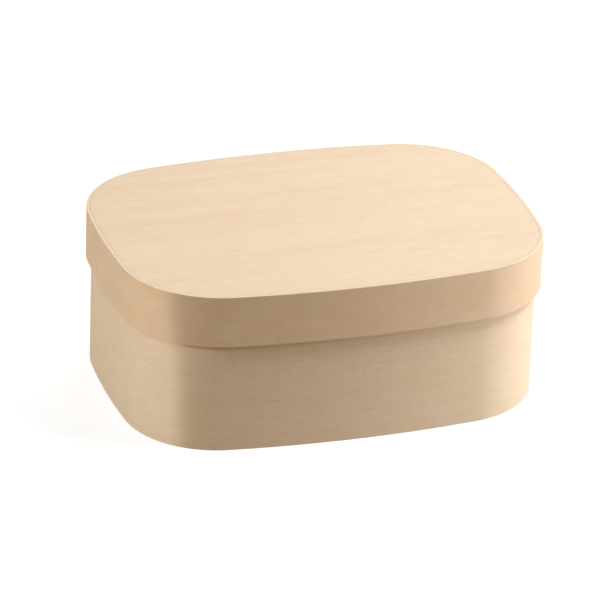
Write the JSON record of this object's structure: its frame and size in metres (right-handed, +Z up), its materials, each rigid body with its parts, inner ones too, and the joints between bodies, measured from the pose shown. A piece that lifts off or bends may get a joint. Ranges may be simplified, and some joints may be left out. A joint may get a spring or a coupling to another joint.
{
  "type": "bentwood box with lid",
  "caption": "Low bentwood box of pale veneer with rounded corners and gently bowed sides, closed by a slip-over lid that lifts off; keeps a packed meal or small things.",
  "frame": {"origin": "middle of the underside, where the box rests", "axes": "+Z up, +X along the length, -Y out of the front long side and +Y out of the back, where the bands are lapped"},
  "size_m": [0.16, 0.1186, 0.0618],
  "materials": {
    "bent_veneer": "bare, sanded matte",
    "flat_board": "bare, sanded matte"
  },
  "bodies": {
    "box": {"body_band": "bent_veneer", "base_plate": "flat_board"},
    "lid": {"lid_band": "bent_veneer", "lid_plate": "flat_board"}
  },
  "joints": [
    {"name": "lid_lift", "type": "slide", "parent": "box", "child": "lid", "axis": [0, 0, 1], "range_m": [0, 0.06]}
  ]
}
